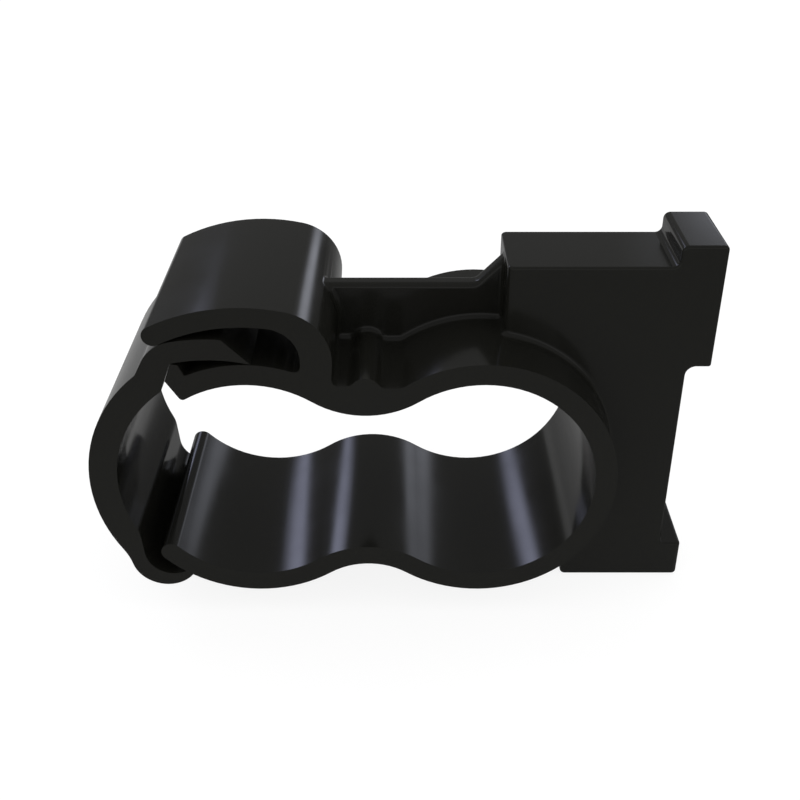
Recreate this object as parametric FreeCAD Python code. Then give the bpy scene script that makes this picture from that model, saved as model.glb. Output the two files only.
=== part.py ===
# Cable clip for two round cables or conduits side by side, moulded in one piece of black polyamide.
# Two round seats open into each other through a neck. The right-hand seat is closed and sits
# against a mounting block. The left-hand seat opens on a strap with a living hinge, whose tongue
# snaps over the tooth on the seat's jaw and is held down by a hook.
# The origin is on the axis of the right-hand seat, half way along its depth.
# X runs along the two seats, Y along the cables, away from the viewer, and Z is up.
import FreeCAD, Part
import math
import os

# Seats and the wall round them
seat_radius = 10.0
body_depth = 19.0
wall = 1.9
ridge_rise = 3.0
crown_right_reach = 3.04
crown_left_reach = 3.35
bump_radius = 1.35
bump_sink = 0.39

# Mouth of the left-hand seat, as angles round its axis from +X
jaw_end_angle = 122.5
lip_end_angle = 224.0
jaw_corner_radius = 0.35

# Snap latch
latch_clearance = 0.04
strap_offset = 0.2
strap_gap = 1.58
strap_thickness = 2.45
tongue_thickness = 1.92
tongue_offset_x = 2.9
tongue_offset_z = 2.4
tongue_tip_angle = 87.0
tongue_lead_angle = 135.0
head_radius = 3.3
head_start_angle = 100.7
head_side_angle = 152.0
tooth_toe_height = 0.375
tooth_crest_angle = 116.6
tooth_back_angle = 114.4
tooth_back_height = 1.14

# Living hinge
hinge_slit = 1.5
hinge_outer_radius = 3.06
hinge_outer_offset = 0.96
hinge_bite = 0.6
band_lean = 5.0

# Hook over the tongue, its slot and its back measured from the middle of the neck
hook_thickness = 1.75
hook_tip_angle = 116.3
slot_reach = 5.32
slot_turn_radius = 2.95
hook_back_reach = 2.69
hook_back_radius = 4.6
hook_back_lean = 4.0

# Web between the hook and the block
web_thickness = 1.7
web_rise = 3.28
web_round = 0.5
ramp_run = 2.4
ramp_rise = 2.46

# Mounting block, with a tab over its top right corner and a foot at its bottom right corner
block_depth = 8.0
block_width = 16.12
block_lower_width = 9.44
block_reach = 6.14
block_rise = 6.22
block_drop = 2.78
tab_reach = 2.16
tab_width = 3.96
tab_rise = 1.91
tab_height = 11.43
foot_reach = 2.02
foot_height = 3.73

# Rounds and coves
edge_round = 0.25
corner_round = 0.5
cove_radius = 0.55
root_cove_radius = 0.6
bump_cove_radius = 0.85
lobe_cove_radius = 1.0
ramp_cove_radius = 0.9
tab_round = 0.6
tab_end_round = 0.4
tab_cove_radius = 0.9
step_cove_radius = 0.6
foot_cove_radius = 0.3
tip_round = 0.2
tooth_round = 0.15
strap_cove_radius = 0.4
band_round = 3.0
hinge_cove_radius = 5.5

# How near an edge must lie to a place or a seam to be picked for a round
pick_tolerance = 0.01

# Sizes that follow from the ones above
# The two cables touch, and each ridge between them is an arc that runs smoothly into both seats
wall_radius = seat_radius + wall
seat_pitch = 2 * seat_radius
half_pitch = seat_pitch / 2
neck_half_height = seat_radius - ridge_rise
ridge_radius = (half_pitch**2 + neck_half_height**2 - seat_radius**2) / (2 * ridge_rise)
ridge_height = neck_half_height + ridge_radius
ridge_angle = math.degrees(math.atan2(ridge_height, half_pitch))
strap_inner_radius = seat_radius + strap_gap
strap_outer_radius = strap_inner_radius + strap_thickness
block_right = wall_radius + block_reach
block_left = block_right - block_width


def point(x, z):
    """A point in the plane that halves the clip's depth."""
    return FreeCAD.Vector(x, 0, z)


def polar(centre, radius, angle):
    """The point at a radius and an angle in degrees round a centre, from +X towards +Z."""
    turn = math.radians(angle)
    return centre + point(radius * math.cos(turn), radius * math.sin(turn))


def angle_at(centre, target):
    """The angle in degrees, from 0 to 360, at which a target is seen from a centre."""
    return math.degrees(math.atan2(target.z - centre.z, target.x - centre.x)) % 360


def line(start, end):
    return Part.LineSegment(start, end).toShape()


def arc(centre, radius, start, end):
    """The arc round a centre from one angle to another."""
    middle = (start + end) / 2
    points = [polar(centre, radius, angle) for angle in (start, middle, end)]
    return Part.Arc(*points).toShape()


def arc_between(centre, start, end):
    """The arc round a centre from one point of a circle to another, the way their angles run."""
    return arc(centre, (start - centre).Length, angle_at(centre, start), angle_at(centre, end))


def circles_meet(centre_a, radius_a, centre_b, radius_b, side):
    """Where two circles cross, on the left (+1) or right (-1) of the way from a to b."""
    apart = (centre_b - centre_a).Length
    along = (apart**2 + radius_a**2 - radius_b**2) / (2 * apart)
    turn = math.degrees(math.acos(along / radius_a))
    return polar(centre_a, radius_a, angle_at(centre_a, centre_b) + side * turn)


def line_meets_circle(start, direction, centre, radius, side):
    """Where a line crosses a circle, at its far (+1) or near (-1) crossing along the direction."""
    unit = direction / direction.Length
    along = unit.dot(centre - start)
    off_line = (centre - start - unit * along).Length
    return start + unit * (along + side * math.sqrt(radius**2 - off_line**2))


def above_at(centre, radius, x):
    """The place on the upper half of a circle at a given x."""
    return point(x, centre.z + math.sqrt(radius**2 - (x - centre.x)**2))


def turn_centre(centre, radius, turn_radius, x):
    """The centre of a turn that runs smoothly from inside a circle into a vertical line at x."""
    return above_at(centre, radius - turn_radius, x - turn_radius)


def prism(edges, depth):
    """A closed outline carried along Y, half of the depth to each side of the middle plane."""
    face = Part.Face(Part.Wire(edges))
    face.translate(FreeCAD.Vector(0, -depth / 2, 0))
    return face.extrude(FreeCAD.Vector(0, depth, 0))


def polygon_prism(corners, depth):
    sides = [line(a, b) for a, b in zip(corners, corners[1:] + corners[:1])]
    return prism(sides, depth)


def rod(centre, radius, depth):
    start = FreeCAD.Vector(centre.x, -depth / 2, centre.z)
    return Part.makeCylinder(radius, depth, start, FreeCAD.Vector(0, 1, 0))


def edges_along_y(solid, place):
    """The solid's straight edges that run along Y through a place of the middle plane."""
    found = []
    for edge in solid.Edges:
        ends = [vertex.Point for vertex in edge.Vertexes]
        if all(math.hypot(end.x - place.x, end.z - place.z) < pick_tolerance for end in ends):
            found.append(edge)
    return found


right_seat = point(0, 0)
left_seat = point(-seat_pitch, 0)
neck_middle = -half_pitch

# Centres that the strap, the tongue, the hinge and the hook are struck from
strap_centre = left_seat + point(-strap_offset, 0)
tongue_centre = left_seat + point(-tongue_offset_x, -tongue_offset_z)
lip_centre = polar(left_seat, seat_radius + wall / 2, lip_end_angle)
hinge_inner_radius = wall / 2 + hinge_slit
hinge_outer_centre = polar(lip_centre, hinge_outer_offset, lip_end_angle)

# The crown is a little higher on the hook's side, and the bump hides the step
crown_right = above_at(right_seat, wall_radius, neck_middle + crown_right_reach)
crown_left = above_at(left_seat, wall_radius, neck_middle - crown_left_reach)
bump_centre = point(neck_middle, crown_right.z - bump_sink)

# The tongue's tip rests on the jaw, the head of the strap under the hook, and the strap on the tooth
tongue_tip = polar(left_seat, wall_radius + latch_clearance, tongue_tip_angle)
tongue_inner_radius = (tongue_tip - tongue_centre).Length
tongue_outer_radius = tongue_inner_radius + tongue_thickness
head_centre = polar(tongue_centre, tongue_outer_radius - head_radius, head_start_angle)
hook_inner_radius = (head_centre - left_seat).Length + head_radius + latch_clearance
hook_outer_radius = hook_inner_radius + hook_thickness
hook_back_x = neck_middle - hook_back_reach
slot_x = neck_middle - slot_reach
back_centre = turn_centre(left_seat, hook_outer_radius, hook_back_radius, hook_back_x)
slot_centre = turn_centre(left_seat, hook_inner_radius, slot_turn_radius, slot_x)
back_turn = angle_at(left_seat, back_centre)
slot_turn = angle_at(left_seat, slot_centre)
slot_end = point(slot_x, slot_centre.z)
tooth_toe = polar(left_seat, wall_radius + tooth_toe_height, jaw_end_angle)
crest_direction = polar(point(0, 0), 1, tooth_crest_angle)
tooth_crest = line_meets_circle(
    left_seat, crest_direction, tongue_centre, tongue_inner_radius - latch_clearance, 1)
tooth_back = polar(left_seat, wall_radius + tooth_back_height, tooth_back_angle)

# Corners of the strap's outline, from the catch face round the tongue and the head to the hinge
catch_line = tooth_crest - tooth_toe
catch_normal = point(-catch_line.z, catch_line.x) / catch_line.Length
catch_foot = tooth_toe + catch_normal * latch_clearance
catch_top = line_meets_circle(catch_foot, catch_line, tongue_centre, tongue_inner_radius, 1)
catch_end = line_meets_circle(catch_foot, catch_line, strap_centre, strap_inner_radius, 1)
tongue_lead = polar(point(0, 0), 1, tongue_lead_angle)
tip_top = line_meets_circle(tongue_tip, tongue_lead, tongue_centre, tongue_outer_radius, 1)
head_top = polar(head_centre, head_radius, head_start_angle)
head_side = polar(head_centre, head_radius, head_side_angle)
side_line = polar(point(0, 0), 1, head_side_angle + 90)
head_foot = line_meets_circle(head_side, side_line, strap_centre, strap_outer_radius, -1)
band_end = polar(lip_centre, hinge_inner_radius, 180 + band_lean)
band_line = polar(point(0, 0), 1, 90 + band_lean)
band_top = line_meets_circle(band_end, band_line, strap_centre, strap_inner_radius, -1)
bite_radius = wall_radius - hinge_bite
bite_inner = circles_meet(left_seat, bite_radius, lip_centre, hinge_inner_radius, 1)
bite_outer = circles_meet(left_seat, bite_radius, hinge_outer_centre, hinge_outer_radius, 1)
strap_foot = circles_meet(
    strap_centre, strap_outer_radius, hinge_outer_centre, hinge_outer_radius, -1)


def seat_body():
    """The wall round both seats, with the flat crown and its bump over the neck."""
    over = ridge_angle
    under = 360 - ridge_angle
    low_crown = point(neck_middle, crown_right.z)
    high_crown = point(neck_middle, crown_left.z)
    outline = [
        arc(right_seat, wall_radius, over - 180, angle_at(right_seat, crown_right)),
        line(crown_right, low_crown),
        line(low_crown, high_crown),
        line(high_crown, crown_left),
        arc(left_seat, wall_radius, angle_at(left_seat, crown_left), under),
        arc(point(neck_middle, -ridge_height), ridge_radius - wall, 180 - over, over),
    ]
    return prism(outline, body_depth).fuse(rod(bump_centre, bump_radius, body_depth))


def seat_opening(margin):
    """The two round seats and the neck between its smooth ridges, grown by a margin."""
    seat = seat_radius + margin
    ridge = ridge_radius - margin
    outline = [
        arc(right_seat, seat, ridge_angle - 180, 180 - ridge_angle),
        arc(point(neck_middle, ridge_height), ridge, -ridge_angle, ridge_angle - 180),
        arc(left_seat, seat, ridge_angle, 360 - ridge_angle),
        arc(point(neck_middle, -ridge_height), ridge, 180 - ridge_angle, ridge_angle),
    ]
    return prism(outline, 2 * body_depth)


def mouth():
    """What is cut from the wall between the end of the jaw and the lip."""
    inside = seat_radius / 2
    outside = wall_radius + wall
    outline = [
        arc(left_seat, inside, jaw_end_angle, lip_end_angle),
        line(polar(left_seat, inside, lip_end_angle), polar(left_seat, outside, lip_end_angle)),
        arc(left_seat, outside, lip_end_angle, jaw_end_angle),
        line(polar(left_seat, outside, jaw_end_angle), polar(left_seat, inside, jaw_end_angle)),
    ]
    return prism(outline, 2 * body_depth)


def bump_foot(height, side):
    """Where the bump meets the crown at a height, on its right (+1) or left (-1)."""
    return line_meets_circle(point(neck_middle, height), point(side, 0), bump_centre, bump_radius, 1)


def hook_back_at(height):
    """The place on the straight, leaning part of the hook's back at a height."""
    back_end = polar(back_centre, hook_back_radius, -hook_back_lean)
    shift = (back_end.z - height) * math.tan(math.radians(hook_back_lean))
    return point(back_end.x - shift, height)


def tooth():
    """The catch on the end of the jaw, with its crest just under the tongue."""
    mid_wall = seat_radius + wall / 2
    corners = [
        polar(left_seat, mid_wall, jaw_end_angle),
        tooth_toe,
        tooth_crest,
        tooth_back,
        polar(left_seat, mid_wall, tooth_back_angle),
    ]
    return polygon_prism(corners, body_depth)


def hook():
    """The hook that rises from the jaw, turns over the tongue and ends in a full round."""
    tip_centre = polar(left_seat, hook_inner_radius + hook_thickness / 2, hook_tip_angle)
    back_end = polar(back_centre, hook_back_radius, -hook_back_lean)
    back_foot = hook_back_at(crown_right.z - wall / 4)
    slot_foot = point(slot_x, back_foot.z)
    outline = [
        arc(left_seat, hook_outer_radius, hook_tip_angle, back_turn),
        arc(back_centre, hook_back_radius, back_turn, -hook_back_lean),
        line(back_end, back_foot),
        line(back_foot, slot_foot),
        line(slot_foot, slot_end),
        arc(slot_centre, slot_turn_radius, 0, slot_turn),
        arc(left_seat, hook_inner_radius, slot_turn, hook_tip_angle),
        arc(tip_centre, hook_thickness / 2, hook_tip_angle + 180, hook_tip_angle),
    ]
    return prism(outline, body_depth)


def strap():
    """The strap with its hinge band, which runs into the wall, and its head and tongue."""
    outline = [
        arc_between(strap_centre, strap_foot, head_foot),
        line(head_foot, head_side),
        arc(head_centre, head_radius, head_side_angle, head_start_angle),
        arc_between(tongue_centre, head_top, tip_top),
        line(tip_top, tongue_tip),
        arc_between(tongue_centre, tongue_tip, catch_top),
        line(catch_top, catch_end),
        arc_between(strap_centre, catch_end, band_top),
        line(band_top, band_end),
        arc_between(lip_centre, band_end, bite_inner),
        line(bite_inner, bite_outer),
        arc_between(hinge_outer_centre, bite_outer, strap_foot),
    ]
    return prism(outline, body_depth)


def web():
    """The rib that stiffens the hook against the block, with a rounded top and a coved ramp."""
    left = slot_x + hook_thickness / 2
    right = block_left + web_thickness
    top = wall_radius + web_rise
    ramp_top = top + ramp_rise
    corners = [
        point(left, 0),
        point(left, top),
        point(block_left - ramp_run, top),
        point(block_left, ramp_top),
        point(right, ramp_top),
        point(right, 0),
    ]
    solid = polygon_prism(corners, web_thickness)
    ramp_foot = edges_along_y(solid, point(block_left - ramp_run, top))
    solid = solid.makeFillet(ramp_cove_radius, ramp_foot)
    upper = [edge for edge in solid.Edges if edge.BoundBox.ZMin > top - pick_tolerance]
    along = [edge for edge in upper if edge.BoundBox.YLength < pick_tolerance]
    return solid.makeFillet(web_round, along)


def block():
    """The mounting block with its tab and foot, rounded on all its outer edges."""
    top = wall_radius + block_rise
    bottom = -wall_radius - block_drop
    lower_left = block_right - block_lower_width
    tab_right = block_right + tab_reach
    tab_left = tab_right - tab_width
    tab_top = top + tab_rise
    tab_foot = tab_top - tab_height
    foot_right = block_right + foot_reach
    foot_top = bottom + foot_height
    corners = [
        point(block_left, top),
        point(tab_left, top),
        point(tab_left, tab_top),
        point(tab_right, tab_top),
        point(tab_right, tab_foot),
        point(block_right, tab_foot),
        point(block_right, foot_top),
        point(foot_right, foot_top),
        point(foot_right, bottom),
        point(lower_left, bottom),
        point(lower_left, 0),
        point(block_left, 0),
    ]
    solid = polygon_prism(corners, block_depth)
    rounds = [
        (point(lower_left, bottom), corner_round),
        (point(tab_left, top), step_cove_radius),
        (point(tab_left, tab_top), tab_round),
        (point(tab_right, tab_top), tab_end_round),
        (point(block_right, tab_foot), tab_cove_radius),
        (point(block_right, foot_top), foot_cove_radius),
    ]
    for place, radius in rounds:
        solid = solid.makeFillet(radius, edges_along_y(solid, place))
    boxes = [(edge, edge.BoundBox) for edge in solid.Edges]
    ends = (block_left, foot_right)
    upright = []
    for edge, box in boxes:
        thin = max(box.XLength, box.YLength) < pick_tolerance
        if thin and any(abs(box.XMax - end) < pick_tolerance for end in ends):
            upright.append(edge)
    solid = solid.makeFillet(corner_round, upright)
    boxes = [(edge, edge.BoundBox) for edge in solid.Edges]
    outer = [edge for edge, box in boxes if max(-box.ZMin, box.ZMax) > pick_tolerance]
    return solid.makeFillet(edge_round, outer)


def latch_body():
    """Seats, jaw, hook, hinge and strap, with the rounds that run along the cables."""
    solid = seat_body().cut(mouth())
    solid = solid.fuse([rod(lip_centre, wall / 2, body_depth), tooth(), hook(), strap()])
    solid = solid.cut(seat_opening(0)).removeSplitter()
    slot_foot = above_at(left_seat, wall_radius, slot_x)
    rounds = [
        (polar(left_seat, seat_radius, jaw_end_angle), jaw_corner_radius),
        (tooth_back, tooth_round),
        (polar(left_seat, wall_radius, tooth_back_angle), tooth_round),
        (slot_foot, cove_radius),
        (hook_back_at(crown_left.z), root_cove_radius),
        (bump_foot(crown_left.z, -1), bump_cove_radius),
        (bump_foot(crown_right.z, 1), bump_cove_radius),
        (crown_right, lobe_cove_radius),
        (tip_top, tip_round),
        (head_foot, strap_cove_radius),
        (band_top, band_round),
        (strap_foot, hinge_cove_radius),
    ]
    for place, radius in rounds:
        solid = solid.makeFillet(radius, edges_along_y(solid, place))
    return solid


def seam_edges(solid, first, second):
    """The solid's edges along the seam where two of its forms meet."""
    seam = first.section(second)
    found = []
    for edge in solid.Edges:
        middle = Part.Vertex(edge.valueAt((edge.FirstParameter + edge.LastParameter) / 2))
        if seam.distToShape(middle)[0] < pick_tolerance:
            found.append(edge)
    return found


latch = latch_body()
holder = block()
rib = web()
mounting = holder.fuse(rib).removeSplitter().cut(seat_opening(wall / 2))
clip = latch.fuse(mounting).removeSplitter()
seams = seam_edges(clip, latch, mounting) + seam_edges(clip, holder, rib)
clip = clip.makeFillet(cove_radius, seams)
print("solids", len(clip.Solids), "valid", clip.isValid(), "volume", round(clip.Volume, 1))

os.makedirs("parts", exist_ok=True)
clip.exportStep("parts/clip_body.step")
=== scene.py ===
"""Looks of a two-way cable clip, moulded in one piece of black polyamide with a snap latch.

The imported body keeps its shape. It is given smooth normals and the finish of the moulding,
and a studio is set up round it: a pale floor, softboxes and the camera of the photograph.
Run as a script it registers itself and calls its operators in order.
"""

import math

import bpy
import numpy as np
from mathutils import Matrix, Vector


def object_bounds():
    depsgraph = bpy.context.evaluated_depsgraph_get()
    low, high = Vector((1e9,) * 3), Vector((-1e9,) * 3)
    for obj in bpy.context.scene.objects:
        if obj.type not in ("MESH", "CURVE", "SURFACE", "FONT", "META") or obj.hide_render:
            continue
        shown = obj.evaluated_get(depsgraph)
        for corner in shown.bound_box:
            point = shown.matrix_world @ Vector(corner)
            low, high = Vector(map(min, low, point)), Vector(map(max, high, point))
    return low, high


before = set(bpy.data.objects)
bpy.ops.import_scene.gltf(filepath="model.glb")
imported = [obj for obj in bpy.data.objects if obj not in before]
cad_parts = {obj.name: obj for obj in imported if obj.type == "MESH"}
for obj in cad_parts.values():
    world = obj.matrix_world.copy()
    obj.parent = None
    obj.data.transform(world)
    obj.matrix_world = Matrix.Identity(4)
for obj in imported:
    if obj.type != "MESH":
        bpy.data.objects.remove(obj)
cad_low, cad_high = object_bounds()

bl_info = {
    "name": "Cable clip",
    "version": (1, 0, 0),
    "blender": (4, 5, 0),
    "location": "3D View > Sidebar > Clip",
    "description": "Dresses a moulded cable clip and sets up its studio",
    "category": "Object",
}

MM = 0.001
BODY = "clip_body"
WHITE = "#FFFFFF"


def linear(colour):
    """A colour written as sRGB hex, as linear red, green and blue and an alpha of 1. A share up
    to 0.04045 is divided by 12.92, and a higher one is ((share + 0.055) / 1.055) to the power
    2.4."""
    srgb = np.array([int(colour[i : i + 2], 16) for i in (1, 3, 5)]) / 255
    low, high = srgb / 12.92, ((srgb + 0.055) / 1.055) ** 2.4
    return (*(float(c) for c in np.where(srgb <= 0.04045, low, high)), 1)


def add_node(tree, kind, inputs=None, **settings):
    """A node with its settings by name. Each input that is given, by name or number, is set to a
    value or linked from another node's output."""
    node = tree.nodes.new(kind)
    for name, value in settings.items():
        setattr(node, name, value)
    for socket, source in (inputs or {}).items():
        if isinstance(source, bpy.types.NodeSocket):
            tree.links.new(source, node.inputs[socket])
        else:
            node.inputs[socket].default_value = source
    return node


def new_tree(owner):
    """The emptied node tree of a material, world or lamp."""
    owner.use_nodes = True
    owner.node_tree.nodes.clear()
    return owner.node_tree


def grid_piece(name, points):
    """A mesh whose vertices are a grid of points, rows by columns by three. Each quad joins a
    point to the next in its row, the one below that and the one below the point."""
    rows, columns = points.shape[:2]
    corner = np.arange(rows * columns).reshape(rows, columns)
    quads = np.stack([corner[:-1, :-1], corner[:-1, 1:], corner[1:, 1:], corner[1:, :-1]], -1)
    mesh = bpy.data.meshes.new(name)
    mesh.from_pydata(points.reshape(-1, 3).tolist(), [], quads.reshape(-1, 4).tolist())
    mesh.update()
    piece = bpy.data.objects.new(name, mesh)
    bpy.context.scene.collection.objects.link(piece)
    return piece


def direction(azimuth, elevation):
    """The unit vector at two angles in degrees: an azimuth, from straight back towards the right,
    and an elevation. X and Y are the azimuth's sine and cosine times the elevation's cosine, and
    Z is the elevation's sine."""
    across, up = math.radians(azimuth), math.radians(elevation)
    level = math.cos(up)
    return np.array([math.sin(across) * level, math.cos(across) * level, math.sin(up)])


def smooth_by_angle(limit):
    """A node group that shades faces smooth and keeps the edges sharper than an angle."""
    group = bpy.data.node_groups.new("Smooth below an edge angle", "GeometryNodeTree")
    for side in ("INPUT", "OUTPUT"):
        group.interface.new_socket("Geometry", in_out=side, socket_type="NodeSocketGeometry")
    start = add_node(group, "NodeGroupInput").outputs[0]
    angle = add_node(group, "GeometryNodeInputMeshEdgeAngle").outputs["Unsigned Angle"]
    gentle = add_node(group, "FunctionNodeCompare", {0: angle, 1: limit}, operation="LESS_THAN")
    faces = add_node(group, "GeometryNodeSetShadeSmooth", {"Geometry": start}, domain="FACE")
    edges = add_node(
        group,
        "GeometryNodeSetShadeSmooth",
        {"Geometry": faces.outputs[0], "Shade Smooth": gentle.outputs[0]},
        domain="EDGE",
    )
    add_node(group, "NodeGroupOutput", {0: edges.outputs[0]})
    return group


class FinishSettings(bpy.types.PropertyGroup):
    """Sizes and colours of the moulded finish."""

    colour: bpy.props.FloatVectorProperty(
        name="Polyamide",
        description="Colour of the black polyamide",
        default=linear("#181815"),
        size=4,
        subtype="COLOR",
        min=0,
        max=1,
    )
    roughness: bpy.props.FloatProperty(
        name="Roughness",
        description="Roughness of the polished tool's surface",
        default=0.14,
        min=0,
        max=1,
        subtype="FACTOR",
    )
    flow_size: bpy.props.FloatProperty(
        name="Flow marks",
        description="Width of the cloudy marks that the flowing melt leaves",
        default=6 * MM,
        unit="LENGTH",
    )
    smooth_angle: bpy.props.FloatProperty(
        name="Smooth below",
        description="Faces that meet at less than this angle are one curved surface",
        default=math.radians(25),
        subtype="ANGLE",
    )


class StageSettings(bpy.types.PropertyGroup):
    """Sizes and levels of the studio."""

    floor_radius: bpy.props.FloatProperty(
        name="Floor",
        description="Radius of the round floor",
        default=3.0,
        unit="LENGTH",
    )
    ambient: bpy.props.FloatProperty(
        name="Ambient",
        description="Level of the soft light from all round",
        default=0.88,
        min=0,
    )
    room: bpy.props.FloatProperty(
        name="Room",
        description="Level of the dim room that the gloss shows",
        default=0.16,
        min=0,
    )
    lamp_distance: bpy.props.FloatProperty(
        name="Lamp distance",
        description="Distance of the softboxes",
        default=2.0,
        unit="LENGTH",
    )
    fade_across: bpy.props.FloatProperty(
        name="Fade at the ends",
        description="Share of a softbox's width over which it fades at each end",
        default=0.22,
        min=0.01,
        max=0.5,
        subtype="FACTOR",
    )
    fade_up: bpy.props.FloatProperty(
        name="Fade above and below",
        description="Share of a softbox's height over which it fades above and below",
        default=0.4,
        min=0.01,
        max=0.5,
        subtype="FACTOR",
    )


class CLIP_OT_dress_body(bpy.types.Operator):
    """Give the moulded body its smooth surface and its black polyamide"""

    bl_idname = "clip.dress_body"
    bl_label = "Moulded body"
    bl_options = {"REGISTER", "UNDO"}

    def execute(self, context):
        finish = context.scene.clip_finish
        same_point = 0.001 * MM
        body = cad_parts[BODY]
        body.data.materials.clear()
        body.data.materials.append(moulded_polyamide(finish))
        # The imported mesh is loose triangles, which are joined before they are shaded
        weld = body.modifiers.new("One skin", "WELD")
        weld.merge_threshold = same_point
        curves = body.modifiers.new("Curved surfaces", "NODES")
        curves.node_group = smooth_by_angle(finish.smooth_angle)
        shade = body.modifiers.new("Even shading", "WEIGHTED_NORMAL")
        shade.mode = "FACE_AREA"
        shade.keep_sharp = True
        return {"FINISHED"}


def moulded_polyamide(finish):
    """Black polyamide 66, injection moulded in a polished steel tool."""
    # Carbon black gives the eye a deep, faintly warm black without depth. The polished tool
    # leaves a gloss on it, sharp enough for lamps to draw streaks along every bend. The melt
    # flowed in and cooled unevenly, which shows as cloudy marks some millimetres wide in the
    # gloss alone. The tool's own grain is far too fine to show: it is part of the roughness.
    refraction = 1.5
    flow_change = 0.03
    # The noise stays between these two nearly everywhere
    noise_low, noise_high = 0.3, 0.7
    material = bpy.data.materials.new("Moulded black polyamide")
    tree = new_tree(material)
    place = add_node(tree, "ShaderNodeTexCoord").outputs["Object"]
    flow = add_node(
        tree,
        "ShaderNodeTexNoise",
        {"Vector": place, "Scale": 1 / finish.flow_size, "Detail": 3, "Roughness": 0.5},
    )
    rough = add_node(
        tree,
        "ShaderNodeMapRange",
        {
            "Value": flow.outputs[0],
            "From Min": noise_low,
            "From Max": noise_high,
            "To Min": finish.roughness - flow_change,
            "To Max": finish.roughness + flow_change,
        },
    )
    plastic = add_node(
        tree,
        "ShaderNodeBsdfPrincipled",
        {"Base Color": finish.colour, "Roughness": rough.outputs[0], "IOR": refraction},
    )
    add_node(tree, "ShaderNodeOutputMaterial", {"Surface": plastic.outputs[0]})
    return material


class CLIP_OT_set_stage(bpy.types.Operator):
    """Set up the floor, the world, the softboxes and the camera"""

    bl_idname = "clip.set_stage"
    bl_label = "Stage"
    bl_options = {"REGISTER", "UNDO"}

    def execute(self, context):
        stage = context.scene.clip_stage
        scene = context.scene
        scene.view_settings.view_transform = "Standard"
        place_floor(stage)
        light_world(scene, stage)
        place_softbox(
            stage,
            "softbox_back_left",
            azimuth=-34,
            elevation=26.4,
            width=31,
            height=14.2,
            left_level=5.3,
            right_level=1.3,
            colour="#DADFFF",
        )
        place_softbox(
            stage,
            "softbox_back_right",
            azimuth=28.5,
            elevation=16.6,
            width=28.5,
            height=15.5,
            left_level=2.0,
            right_level=0.4,
            colour="#EDF1FF",
        )
        place_camera(scene)
        return {"FINISHED"}


def place_floor(stage):
    """A flat round floor under the block, facing up: rings by spokes. A ring's radius is the
    floor's times the square of its share of the way out, and X and Y are the radius times the
    cosine and the sine of the spoke's angle. The floor lies a hair below the block, so that the
    two faces never share a plane."""
    rings, spokes, first_share = 12, 97, 0.001
    gap = 0.03 * MM
    radius = np.linspace(first_share, 1, rings)[:, None] ** 2 * stage.floor_radius
    turn = np.linspace(2 * math.pi, 0, spokes)[None, :]
    level = float(cad_low.z) - gap
    across, back = radius * np.cos(turn), radius * np.sin(turn)
    floor = grid_piece("floor", np.stack([across, back, np.full_like(across, level)], -1))
    floor.data.materials.append(white_paper())


def white_paper():
    """Matt white paper: white to the camera, with a soft shadow. The gloss sees a painted pool of
    light on it behind on the left, a glow placed where the paper lies clear of the clip, and
    elsewhere sees through it to the ground of the world, as a camera below it does."""
    grey, glow_level, painted_pool_level = "#7C7C7C", 0.87, 0.4
    # Where the painted pool of light is still dark along X and Y, and where it is at full strength
    left, back = (-35 * MM, -50 * MM), (0, 20 * MM)
    material = bpy.data.materials.new("Matt white paper")
    tree = new_tree(material)
    ray = add_node(tree, "ShaderNodeLightPath").outputs
    paper = add_node(tree, "ShaderNodeBsdfDiffuse", {"Color": linear(WHITE)}).outputs[0]
    # To the camera it glows a little under white, and the light on its grey lifts it to white
    # wherever the clip's shadow doesn't keep that light away
    shaded = add_node(tree, "ShaderNodeBsdfDiffuse", {"Color": linear(grey)}).outputs[0]
    glow = add_node(tree, "ShaderNodeEmission", {"Strength": glow_level}).outputs[0]
    white = add_node(tree, "ShaderNodeAddShader", {0: shaded, 1: glow}).outputs[0]
    seen = add_node(tree, "ShaderNodeMixShader", {0: ray["Is Camera Ray"], 1: paper, 2: white})
    below = add_node(tree, "ShaderNodeNewGeometry").outputs["Backfacing"]
    glossy = ray["Is Glossy Ray"]
    open_to = add_node(tree, "ShaderNodeMath", {0: glossy, 1: below}, operation="MAXIMUM")
    place = add_node(tree, "ShaderNodeTexCoord").outputs["Object"]
    place = add_node(tree, "ShaderNodeSeparateXYZ", {0: place}).outputs
    # The painted pool of light shows to the gloss alone, and is painted dark near the clip
    painted_pool_share = glossy
    for axis, (painted_pool_dark_at, painted_pool_full_at) in (("X", left), ("Y", back)):
        painted_pool_share = add_node(
            tree,
            "ShaderNodeMapRange",
            {
                "Value": place[axis],
                "From Min": painted_pool_dark_at,
                "From Max": painted_pool_full_at,
                "To Min": 0,
                "To Max": painted_pool_share,
            },
            interpolation_type="SMOOTHSTEP",
        ).outputs[0]
    clear = add_node(tree, "ShaderNodeBsdfTransparent").outputs[0]
    # A painted pool of light: a glow that only the gloss sees, standing in for paper lit clear of
    # the clip's shadow
    painted_pool = add_node(tree, "ShaderNodeEmission", {"Strength": painted_pool_level}).outputs[0]
    mirrored = add_node(tree, "ShaderNodeMixShader", {0: painted_pool_share, 1: clear, 2: painted_pool})
    surface = add_node(
        tree,
        "ShaderNodeMixShader",
        {0: open_to.outputs[0], 1: seen.outputs[0], 2: mirrored.outputs[0]},
    )
    add_node(tree, "ShaderNodeOutputMaterial", {"Surface": surface.outputs[0]})
    return material


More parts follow.
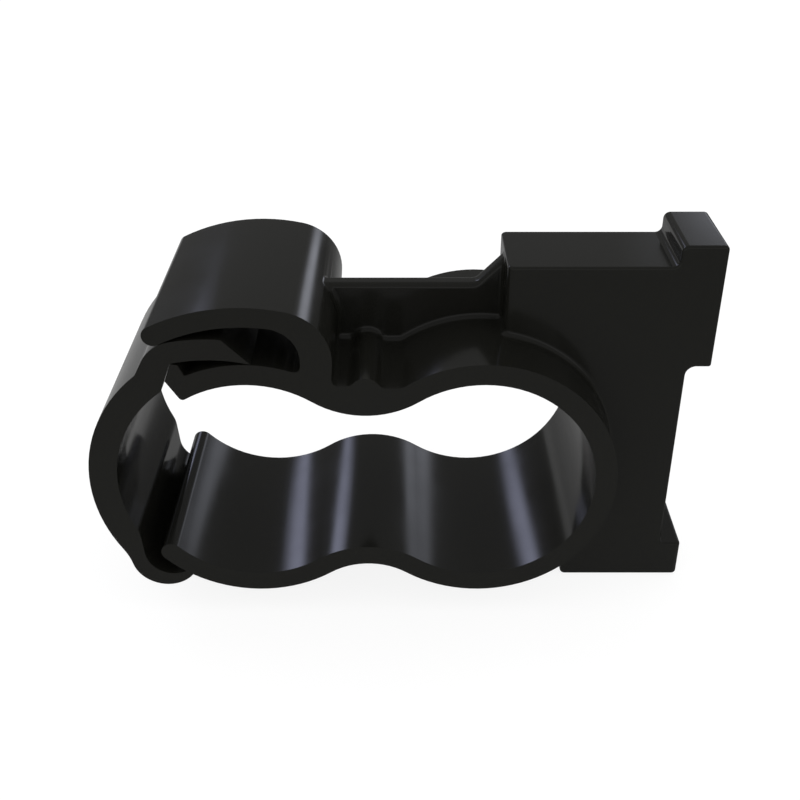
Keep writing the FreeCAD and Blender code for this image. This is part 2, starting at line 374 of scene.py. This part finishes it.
def light_world(scene, stage):
    """White to the camera, an even ambient light, and to the gloss a dim room over its ground.
    The room's and the ground's levels pass smoothly into each other along a direction's X, Y and
    Z, which run from -1 to 1."""
    # How far to the left of straight back the middle of the room lies
    to_left = 0.1
    world = bpy.data.worlds.new("Studio")
    scene.world = world
    tree = new_tree(world)
    ray = add_node(tree, "ShaderNodeLightPath").outputs
    way = add_node(tree, "ShaderNodeTexCoord").outputs["Generated"]
    way = add_node(tree, "ShaderNodeSeparateXYZ", {0: way}).outputs
    off = add_node(tree, "ShaderNodeMath", {0: way["X"], 1: to_left}, operation="ADD").outputs[0]
    off_middle = add_node(tree, "ShaderNodeMath", {0: off}, operation="ABSOLUTE").outputs[0]
    # Each passage: its name, what it runs along, its start and end, and the levels before its
    # start and after its end, which are numbers or earlier passages
    passages = (
        # The room is darker low down at both sides
        ("sides", off_middle, 0.38, 0.55, 0.8 * stage.room, 0.4 * stage.room),
        ("room_behind", way["Z"], 0.15, 0.5, "sides", stage.room),
        # It is lighter low down in front, where only the views from behind show it
        ("room_before", way["Z"], 0.2, 0.4, 2.2 * stage.room, stage.room),
        ("room", way["Y"], -0.8, -0.4, "room_before", "room_behind"),
        # The ground is brighter behind the clip, but for its far right, and a little brighter
        # straight below its front
        ("ground_behind", way["X"], 0.28, 0.42, 0.288, 0.104),
        ("ground_before", way["Z"], -0.56, -0.37, 0.176, 0.136),
        ("ground", way["Y"], -0.3, 0.3, "ground_before", "ground_behind"),
        # They meet at the horizon
        ("all_round", way["Z"], -0.02, 0.02, "ground", "room"),
    )
    levels = {}
    for name, value, start, end, before, after in passages:
        node = add_node(
            tree,
            "ShaderNodeMapRange",
            {
                "Value": value,
                "From Min": start,
                "From Max": end,
                "To Min": levels.get(before, before),
                "To Max": levels.get(after, after),
            },
            interpolation_type="SMOOTHSTEP",
        )
        levels[name] = node.outputs[0]
    colour = linear(WHITE)
    gloss, white, soft = (
        add_node(tree, "ShaderNodeBackground", {"Color": colour, "Strength": level}).outputs[0]
        for level in (levels["all_round"], 1, stage.ambient)
    )
    seen = add_node(tree, "ShaderNodeMixShader", {0: ray["Is Camera Ray"], 1: soft, 2: white})
    surface = add_node(
        tree, "ShaderNodeMixShader", {0: ray["Is Glossy Ray"], 1: seen.outputs[0], 2: gloss}
    )
    add_node(tree, "ShaderNodeOutputWorld", {"Surface": surface.outputs[0]})


def place_softbox(
    stage, name, azimuth, elevation, width, height, left_level, right_level, colour
):
    """A rectangular lamp that faces the clip, seen from it at an azimuth and elevation and under
    two angles, all in degrees. Its radiance runs evenly between the levels at its two ends, and
    fades at its edges."""
    # Its coordinates run from 0 to 1, so its edges lie a half from its middle
    half = 0.5
    room_share = 0.625
    lamp = bpy.data.lights.new(name, "AREA")
    lamp.shape = "RECTANGLE"
    lamp.size, lamp.size_y = (
        2 * stage.lamp_distance * math.tan(math.radians(angle / 2)) for angle in (width, height)
    )
    # With these watts the lamp's radiance is the level that its nodes give
    lamp.energy = math.pi * lamp.size * lamp.size_y
    tree = new_tree(lamp)
    spot = add_node(tree, "ShaderNodeNewGeometry").outputs["Parametric"]
    spot = add_node(tree, "ShaderNodeSeparateXYZ", {0: spot}).outputs
    level = add_node(
        tree,
        "ShaderNodeMapRange",
        {"Value": spot["X"], "To Min": right_level, "To Max": left_level},
    ).outputs[0]
    for axis, fade in (("X", stage.fade_across), ("Y", stage.fade_up)):
        off = add_node(tree, "ShaderNodeMath", {0: spot[axis], 1: half}, operation="SUBTRACT")
        off = add_node(tree, "ShaderNodeMath", {0: off.outputs[0]}, operation="ABSOLUTE")
        rim = add_node(
            tree,
            "ShaderNodeMapRange",
            {
                "Value": off.outputs[0],
                "From Min": half - fade,
                "From Max": half,
                "To Min": 1,
                "To Max": 0,
            },
            interpolation_type="SMOOTHSTEP",
        ).outputs[0]
        faded = add_node(tree, "ShaderNodeMath", {0: level, 1: rim}, operation="MULTIPLY")
        level = faded.outputs[0]
    # Its dark edges still hide the room behind them, so they glow as the room does there
    hidden = room_share * stage.room
    level = add_node(tree, "ShaderNodeMath", {0: level, 1: hidden}, operation="MAXIMUM").outputs[0]
    glow = add_node(tree, "ShaderNodeEmission", {"Strength": level, "Color": linear(colour)})
    add_node(tree, "ShaderNodeOutputLight", {"Surface": glow.outputs[0]})
    softbox = bpy.data.objects.new(name, lamp)
    bpy.context.scene.collection.objects.link(softbox)
    softbox.location = direction(azimuth, elevation) * stage.lamp_distance
    softbox.rotation_euler = (math.radians(90 - elevation), 0, math.radians(180 - azimuth))
    softbox.visible_camera = False


def place_camera(scene):
    """The photograph's view, as fitted to the clip's outline: level, straight on along Y and
    pitched down. Its place is in millimetres from the right-hand seat's middle."""
    lens, sensor, nearest = 50, 36, 1 * MM
    place, pitch_down = (-7.1143, -89.0711, 56.3138), 30.9655
    camera = bpy.data.objects.new("camera", bpy.data.cameras.new("camera"))
    camera.data.lens = lens
    camera.data.sensor_width = sensor
    camera.data.clip_start = nearest
    camera.location = [part * MM for part in place]
    camera.rotation_euler = (math.radians(90 - pitch_down), 0, 0)
    scene.collection.objects.link(camera)
    scene.camera = camera


class VIEW3D_PT_clip(bpy.types.Panel):
    """The clip's operators and their settings"""

    bl_label = "Cable clip"
    bl_idname = "VIEW3D_PT_clip"
    bl_space_type = "VIEW_3D"
    bl_region_type = "UI"
    bl_category = "Clip"

    def draw(self, context):
        for settings in (context.scene.clip_finish, context.scene.clip_stage):
            box = self.layout.box()
            for name in settings.__annotations__:
                box.prop(settings, name)
        for operator in OPERATORS:
            self.layout.operator(operator.bl_idname)


OPERATORS = (CLIP_OT_dress_body, CLIP_OT_set_stage)
CLASSES = (FinishSettings, StageSettings, *OPERATORS, VIEW3D_PT_clip)


def register():
    for cls in CLASSES:
        bpy.utils.register_class(cls)
    bpy.types.Scene.clip_finish = bpy.props.PointerProperty(type=FinishSettings)
    bpy.types.Scene.clip_stage = bpy.props.PointerProperty(type=StageSettings)


def unregister():
    del bpy.types.Scene.clip_stage
    del bpy.types.Scene.clip_finish
    for cls in reversed(CLASSES):
        bpy.utils.unregister_class(cls)


def main():
    register()
    bpy.ops.clip.dress_body()
    bpy.ops.clip.set_stage()


if __name__ == "__main__":
    main()
